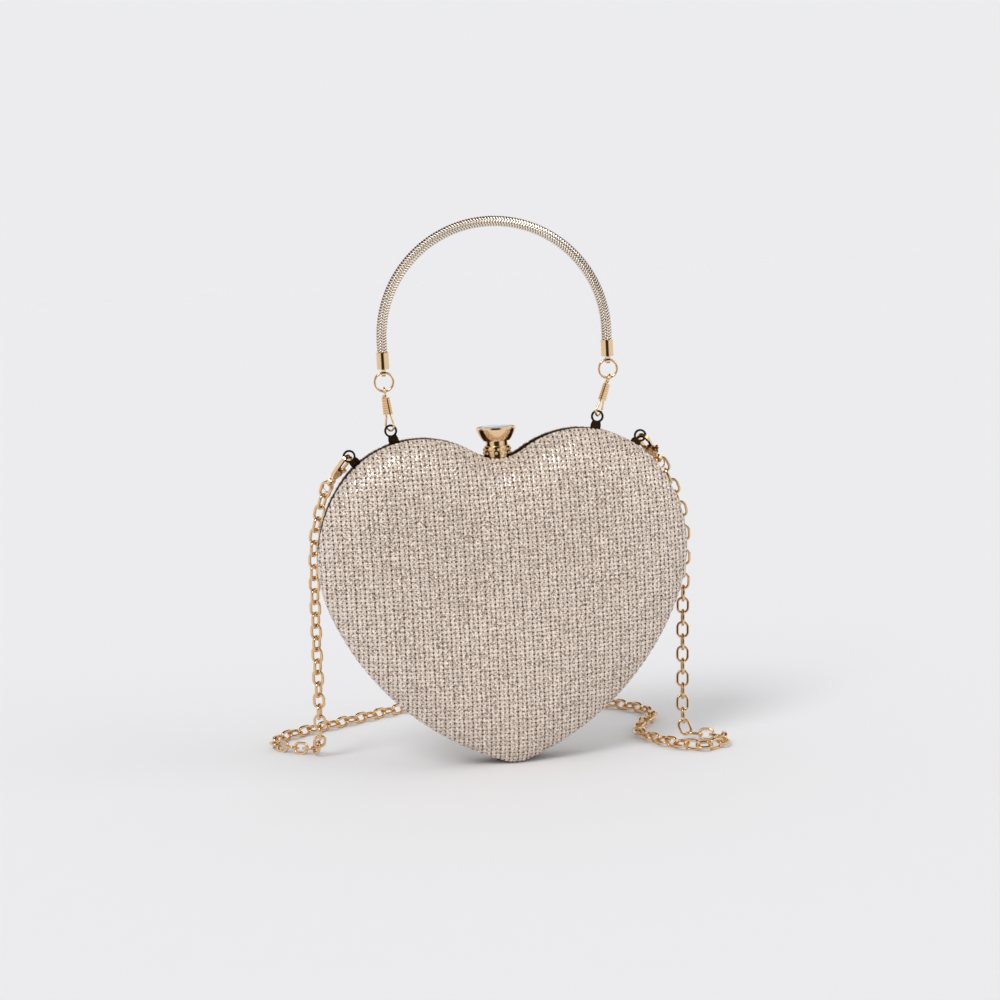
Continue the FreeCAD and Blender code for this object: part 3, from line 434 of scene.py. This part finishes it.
def knitCover(name, facing):  # facing -1 for the front, 1 for the rear
    rimCount = round(heart["rimLength"] / heart["step"] / 64) * 64
    rings = domeRings(rimCount)
    counts = [len(ring) for ring in rings]
    starts = [sum(counts[:k]) for k in range(len(counts))]
    crown = sum(counts)
    hemStart = crown + 1
    hem = heartOutline(rimCount) * heart["hemScale"] + np.array([0.0, heart["hemLift"]])
    hemRing = np.stack([hem[:, 0], np.full(rimCount, heart["rim"]), hem[:, 1]], axis=1)
    crownPoint = np.array([[0.0, heart["crown"], heart["centre"]]])
    points = np.concatenate(rings + [crownPoint, hemRing])
    points[:, 1] *= facing
    faces = ringFaces(starts, counts)
    faces += [(starts[-1] + i, starts[-1] + (i + 1) % counts[-1], crown) for i in range(counts[-1])]
    faces += [(hemStart + i, hemStart + (i + 1) % rimCount, (i + 1) % rimCount, i) for i in range(rimCount)]
    if facing < 0:
        faces = [f[::-1] for f in faces]
    piece = plainMesh(name, points, faces)
    mesh = piece.data
    mesh.shade_smooth()
    normals = np.empty(len(points) * 3)
    mesh.vertex_normals.foreach_get("vector", normals)
    normals = normals.reshape(-1, 3)
    if normals[crown][1] * facing < 0:  # outward is away from the parting plane
        mesh.flip_normals()
        normals = -normals
    height = stitchRelief(points[:, 0], points[:, 2])
    height[hemStart:] = 0.0
    height[:rimCount] = np.minimum(height[:rimCount], 0)
    moved = points + normals * height[:, None]
    moved[:, 1] = np.where(np.abs(moved[:, 1]) < heart["rim"], facing * heart["rim"], moved[:, 1])
    mesh.vertices.foreach_set("co", moved.ravel())
    mesh.update()
    mesh.materials.append(glitterKnit)
    print(name, len(points), "points")
    return piece


for name, facing, body, node in (
        ("frontKnit", -1, "case_front", "front_cover"), ("rearKnit", 1, "case_rear", "rear_cover")):
    cover = knitCover(name, facing)
    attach(cover, body)
    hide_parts(node)
print("covers knitted")


# Shoulder chain: links along one curve, the same route as the part's own chain

chainPlan = {
    "pitch": 0.00565, "length": 0.00805, "width": 0.0060, "wire": 0.0012,
    "corner": 0.0022, "cornerSteps": 6, "bevel": 0.0003, "bevelSteps": 2,
    "rollLeft": 45.0, "rollRight": 0.0,  # degrees that each hanging strand is turned about its own length
    "rollStart": 0.004, "rollRise": 0.03,  # the turn starts at this height and is whole after this rise
    "seat": 0.002,          # from a strap ring's middle to where the end link bears on it
    "resolution": 12,
    "route": [              # millimetres
        (-83.6, 13.0, 112), (-85.0, 15.8, 92), (-85.8, 19.0, 68), (-86.4, 23.5, 42), (-86.9, 28.5, 20),
        (-87.2, 34.5, 6.0), (-91.0, 43.0, 2.75), (-101.0, 50.0, 2.75), (-109.5, 60.0, 2.75),
        (-104.5, 74.0, 2.75), (-87.0, 85.0, 2.75), (-63.0, 100.0, 2.75), (-38.0, 115.0, 2.75),
        (-6.0, 122.0, 2.75), (26.0, 112.0, 2.75), (48.0, 95.0, 2.75), (66.0, 77.0, 2.75), (76.0, 60.0, 2.75),
        (74.5, 45.0, 2.75), (65.0, 33.0, 2.75), (61.5, 19.5, 2.75), (65.5, 4.5, 2.75), (73.5, -9.0, 2.75),
        (83.0, -18.0, 2.75), (93.0, -16.5, 2.75), (97.5, -6.5, 2.75), (91.0, 2.5, 2.75), (81.0, 4.8, 3.2),
        (80.4, 6.2, 13), (81.6, 8.2, 25), (83.0, 10.4, 45), (84.8, 12.2, 69), (86.6, 11.0, 92), (85.6, 10.0, 112)],
}


def boxMiddle(node):
    low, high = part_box(node)
    return (Vector(low) + Vector(high)) / 2


def chainEnd(side):
    ring, clasp = boxMiddle("strap_ring_" + side), boxMiddle("lobster_body_" + side)
    return ring + (ring - clasp).normalized() * chainPlan["seat"]


def routeCurve():
    route = [Vector(p) / 1000 for p in chainPlan["route"]]
    piece = newCurve("chainRoute", "NURBS", [chainEnd("left")] + route + [chainEnd("right")])
    spline = piece.data.splines[0]
    spline.order_u = 3
    spline.use_endpoint_u = True
    spline.resolution_u = chainPlan["resolution"]
    for point in spline.points:
        lifted = min(1.0, max(0.0, (point.co.z - chainPlan["rollStart"]) / chainPlan["rollRise"]))
        point.tilt = math.radians(chainPlan["rollLeft" if point.co.x < 0 else "rollRight"]) * lifted
    return piece


def curvePoints(piece):
    mesh = bpy.data.meshes.new_from_object(piece.evaluated_get(bpy.context.evaluated_depsgraph_get()))
    points = np.empty(len(mesh.vertices) * 3)
    mesh.vertices.foreach_get("co", points)
    bpy.data.meshes.remove(mesh)
    return points.reshape(-1, 3)


def roundedBox(tree, width, height, radius, steps):  # closed curve with filleted corners
    box = addNode(tree, "GeometryNodeCurvePrimitiveQuadrilateral", {"mode": "RECTANGLE"},
                  {"Width": width, "Height": height})
    fillet = addNode(tree, "GeometryNodeFilletCurve", {"mode": "POLY"},
                     {"Curve": box.outputs["Curve"], "Radius": radius})
    feed(tree, fillet.inputs["Count"], steps)
    return fillet.outputs["Curve"]


def linkTree():  # flat-sided links on even points of a curve, every other one turned a quarter
    tree, ids, given = openTree("chainLinks", {
        "Geometry": "Geometry", "Count": "Int", "Length": "Float", "Width": "Float", "Wire": "Float",
        "Corner": "Float", "Bevel": "Float", "Corner Steps": "Int", "Metal": "Material"})
    spots = addNode(tree, "GeometryNodeCurveToPoints", {"mode": "COUNT"},
                    {"Curve": given["Geometry"], "Count": given["Count"]}).outputs
    oval = roundedBox(tree, given["Width"], given["Length"], given["Corner"], given["Corner Steps"])
    section = roundedBox(tree, given["Wire"], given["Wire"], given["Bevel"], chainPlan["bevelSteps"])
    link = addNode(tree, "GeometryNodeCurveToMesh", {}, {"Curve": oval, "Profile Curve": section})
    upright = addNode(tree, "GeometryNodeTransform", {"Rotation": (math.pi / 2, 0, 0)},
                      {"Geometry": link.outputs["Mesh"]})
    odd = maths(tree, "MODULO", addNode(tree, "GeometryNodeInputIndex").outputs["Index"], 2.0)
    roll = maths(tree, "MULTIPLY_ADD", odd, math.pi / 2, math.pi / 4)
    twist = addNode(tree, "ShaderNodeCombineXYZ", {}, {"Z": roll})
    spin = addNode(tree, "FunctionNodeEulerToRotation", {}, {"Euler": twist.outputs["Vector"]})
    turned = addNode(tree, "FunctionNodeRotateRotation", {"rotation_space": "LOCAL"},
                     {"Rotation": spots["Rotation"], "Rotate By": spin.outputs["Rotation"]})
    placed = addNode(tree, "GeometryNodeInstanceOnPoints", {}, {
        "Points": spots["Points"], "Instance": upright.outputs["Geometry"], "Rotation": turned.outputs["Rotation"]})
    closeTree(tree, placed.outputs["Instances"], given["Metal"])
    return tree, ids


chainRoute = routeCurve()
chainPath = curvePoints(chainRoute)
chainLength = float(np.linalg.norm(np.diff(chainPath, axis=0), axis=1).sum())
linkCount = 2 * round(chainLength / chainPlan["pitch"] / 2)
chain = bakeNodes("shoulderChain", chainRoute, *linkTree(), {
    "Count": linkCount, "Length": chainPlan["length"] - chainPlan["wire"],
    "Width": chainPlan["width"] - chainPlan["wire"], "Wire": chainPlan["wire"], "Corner": chainPlan["corner"],
    "Bevel": chainPlan["bevel"], "Corner Steps": chainPlan["cornerSteps"], "Metal": chainGold})
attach(chain, "case_rear")
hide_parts("shoulder_chain_left", "shoulder_chain_floor", "shoulder_chain_right")
print("chain of", linkCount, "links", round(chainLength, 4))


# Handle: round snake chain, wavy bands that lie tight on one another along the arch

handlePlan = {
    "middle": (2.232, 2.6, 171.655), "tilt": 0.4335, "span": 101.6825,  # millimetres and degrees
    "legStart": 12.3, "archBase": 22.0, "legPoints": 12, "archPoints": 181,
    "radius": 0.0024, "bandPitch": 0.00125, "groove": 0.0005, "groovePower": 3.0,
    "waves": 5.0, "waveShare": 0.3,  # waves round a band, and how far they reach into the next
    "sides": 40, "stepsPerBand": 7,
}


def handlePath():
    reach, base = handlePlan["span"] / 2, handlePlan["archBase"]
    leg = [(-reach, z) for z in np.linspace(handlePlan["legStart"], base, handlePlan["legPoints"])]
    turns = np.linspace(0, math.pi, handlePlan["archPoints"])[1:-1]
    arch = [(-reach * math.cos(t), base + reach * math.sin(t)) for t in turns]
    outline = leg + arch + [(-x, z) for x, z in reversed(leg)]
    tilt = Matrix.Rotation(math.radians(handlePlan["tilt"]), 4, "Y")
    place = Matrix.Translation(Vector(handlePlan["middle"])) @ tilt
    return [place @ Vector((x, 0.0, z)) / 1000 for x, z in outline]


def keptValue(tree, curve, source):  # a value of a curve's points that lasts after the curve becomes a mesh
    node = addNode(tree, "GeometryNodeCaptureAttribute", {"domain": "POINT"}, {"Geometry": curve})
    node.capture_items.new("FLOAT", "kept")
    tree.links.new(source, node.inputs[1])
    return node.outputs[0], node.outputs[1]


def snakeTree():  # tube along a curve, its surface drawn in between the bands
    tree, ids, given = openTree("snakeChain", {
        "Geometry": "Geometry", "Radius": "Float", "Band Pitch": "Float", "Groove": "Float", "Waves": "Float",
        "Wave Share": "Float", "Sides": "Int", "Step": "Float", "Metal": "Material"})
    fine = addNode(tree, "GeometryNodeResampleCurve", {"mode": "LENGTH"},
                   {"Curve": given["Geometry"], "Length": given["Step"]})
    ring = addNode(tree, "GeometryNodeCurvePrimitiveCircle", {"mode": "RADIUS"},
                   {"Resolution": given["Sides"], "Radius": given["Radius"]})
    spot = addNode(tree, "GeometryNodeSplineParameter").outputs
    course, along = keptValue(tree, fine.outputs["Curve"], spot["Length"])
    section, turn = keptValue(tree, ring.outputs["Curve"], spot["Factor"])
    tube = addNode(tree, "GeometryNodeCurveToMesh", {"Fill Caps": True}, {"Curve": course, "Profile Curve": section})
    swing = maths(tree, "SINE", maths(tree, "MULTIPLY", maths(tree, "MULTIPLY", turn, given["Waves"]), 2 * math.pi))
    ripple = maths(tree, "MULTIPLY", swing, given["Wave Share"])
    phase = maths(tree, "ADD", maths(tree, "DIVIDE", along, given["Band Pitch"]), ripple)
    crest = maths(tree, "ABSOLUTE", maths(tree, "COSINE", maths(tree, "MULTIPLY", phase, math.pi)))
    valley = maths(tree, "POWER", crest, handlePlan["groovePower"])
    depth = maths(tree, "MULTIPLY", maths(tree, "MULTIPLY", valley, given["Groove"]), -1.0)
    normal = addNode(tree, "GeometryNodeInputNormal").outputs["Normal"]
    inward = addNode(tree, "ShaderNodeVectorMath", {"operation": "SCALE"}, {0: normal, "Scale": depth})
    # the groove mark is kept for the painted groove shade in the snake gold
    marked = addNode(tree, "GeometryNodeStoreNamedAttribute", {
        "data_type": "FLOAT", "domain": "POINT", "Name": "valley"},
        {"Geometry": tube.outputs["Mesh"], "Value": valley})
    drawn = addNode(tree, "GeometryNodeSetPosition", {},
                    {"Geometry": marked.outputs["Geometry"], "Offset": inward.outputs["Vector"]})
    closeTree(tree, drawn.outputs["Geometry"], given["Metal"])
    return tree, ids


handle = bakeNodes("snakeHandle", newCurve("handleLine", "POLY", handlePath()), *snakeTree(), {
    "Radius": handlePlan["radius"], "Band Pitch": handlePlan["bandPitch"], "Groove": handlePlan["groove"],
    "Waves": handlePlan["waves"], "Wave Share": handlePlan["waveShare"], "Sides": handlePlan["sides"],
    "Step": handlePlan["bandPitch"] / handlePlan["stepsPerBand"], "Metal": snakeGold})
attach(handle, "handle")
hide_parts("handle_snake_chain")
print("handle of", len(handle.data.polygons), "faces")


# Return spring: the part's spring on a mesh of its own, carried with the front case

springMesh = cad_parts["clasp_spring"].data.copy()
springMesh.name = "returnSpring"
spring = addPiece("returnSpring", springMesh)
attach(spring, "case_front")
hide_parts("clasp_spring")
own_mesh(spring)


# Stage, light and camera

stagePlan = {
    "backdrop": "#ECECEE", "floor": "#EBEBED", "floorSize": 30.0, "tableEdge": -0.45,
    "sky": 0.68,
    "overhead": "#4A4642", "overheadReach": (0.3, 0.75),  # dark above, so that metal has something to show
    "card": "#2A2622", "cardWay": (-0.13, -0.98, -0.15), "cardReach": (0.82, 0.93),  # dark behind the camera
}
lampPlan = {  # wide soft lamps, so far off that they light the floor evenly
    "key": {"place": (-0.9, -1.1, 1.5), "spread": 24.0, "power": 1.15},
    "fill": {"place": (1.4, -0.8, 0.9), "spread": 40.0, "power": 0.4},
}
cameraPlan = {"place": (-0.1165, -0.8855, 0.2294), "target": (0.0, 0.0, 0.11975), "roll": -3.42, "lens": 71.8}


def addFloor():
    size, edge = stagePlan["floorSize"], stagePlan["tableEdge"]
    corners = [(-size, edge, 0), (size, edge, 0), (size, size, 0), (-size, size, 0)]
    floor = plainMesh("floor", corners, [(0, 1, 2, 3)])
    floor.data.shade_flat()
    material, tree = newMaterial("paleFloor")
    paper = addNode(tree, "ShaderNodeBsdfDiffuse", {"Color": hexColour(stagePlan["floor"])})
    finishMaterial(tree, paper.outputs["BSDF"])
    floor.data.materials.append(material)


def addLamp(name, plan):
    lamp = bpy.data.lights.new(name, "SUN")
    lamp.angle, lamp.energy = math.radians(plan["spread"]), plan["power"]
    piece = addPiece(name, lamp)
    piece.location = plan["place"]
    piece.rotation_euler = (-Vector(plan["place"])).to_track_quat("-Z", "Y").to_euler()


def addWorld():  # white light all round; the eye and mirrors see the pale backdrop, and only mirrors the card
    world = bpy.data.worlds.new("studio")
    bpy.context.scene.world = world
    world.use_nodes = True
    tree = world.node_tree
    tree.nodes.clear()
    way = addNode(tree, "ShaderNodeTexCoord").outputs["Generated"]
    path = addNode(tree, "ShaderNodeLightPath").outputs
    up = addNode(tree, "ShaderNodeSeparateXYZ", {}, {"Vector": way}).outputs["Z"]
    shade = mixColour(tree, ranged(tree, up, *stagePlan["overheadReach"]),
                      hexColour(stagePlan["backdrop"]), hexColour(stagePlan["overhead"]))
    front = addNode(tree, "ShaderNodeVectorMath", {"operation": "DOT_PRODUCT", 1: stagePlan["cardWay"]}, {0: way})
    card = ranged(tree, front.outputs["Value"], *stagePlan["cardReach"])
    carded = mixColour(tree, maths(tree, "MULTIPLY", card, path["Is Glossy Ray"]), shade, hexColour(stagePlan["card"]))
    seen = addNode(tree, "ShaderNodeBackground", {"Strength": 1.0}, {"Color": carded})
    light = addNode(tree, "ShaderNodeBackground", {"Color": hexColour("#FFFFFF"), "Strength": stagePlan["sky"]})
    mirror = maths(tree, "MAXIMUM", path["Is Glossy Ray"], path["Is Transmission Ray"])
    direct = maths(tree, "MAXIMUM", path["Is Camera Ray"], mirror)
    both = addNode(tree, "ShaderNodeMixShader", {}, {
        0: direct, 1: light.outputs["Background"], 2: seen.outputs["Background"]})
    addNode(tree, "ShaderNodeOutputWorld", {}, {"Surface": both.outputs["Shader"]})


def addCamera():
    data = bpy.data.cameras.new("camera")
    data.sensor_width, data.sensor_fit, data.lens = 36.0, "HORIZONTAL", cameraPlan["lens"]
    data.clip_start, data.clip_end = 0.01, 20.0
    piece = addPiece("camera", data)
    place, target = Vector(cameraPlan["place"]), Vector(cameraPlan["target"])
    facing = (target - place).to_track_quat("-Z", "Y").to_matrix().to_4x4()
    roll = Matrix.Rotation(math.radians(cameraPlan["roll"]), 4, "Z")
    piece.matrix_world = Matrix.Translation(place) @ facing @ roll
    bpy.context.scene.camera = piece


addFloor()
addWorld()
for name, plan in lampPlan.items():
    addLamp(name, plan)
addCamera()
bpy.context.scene.view_settings.view_transform = "Standard"
print("stage set")
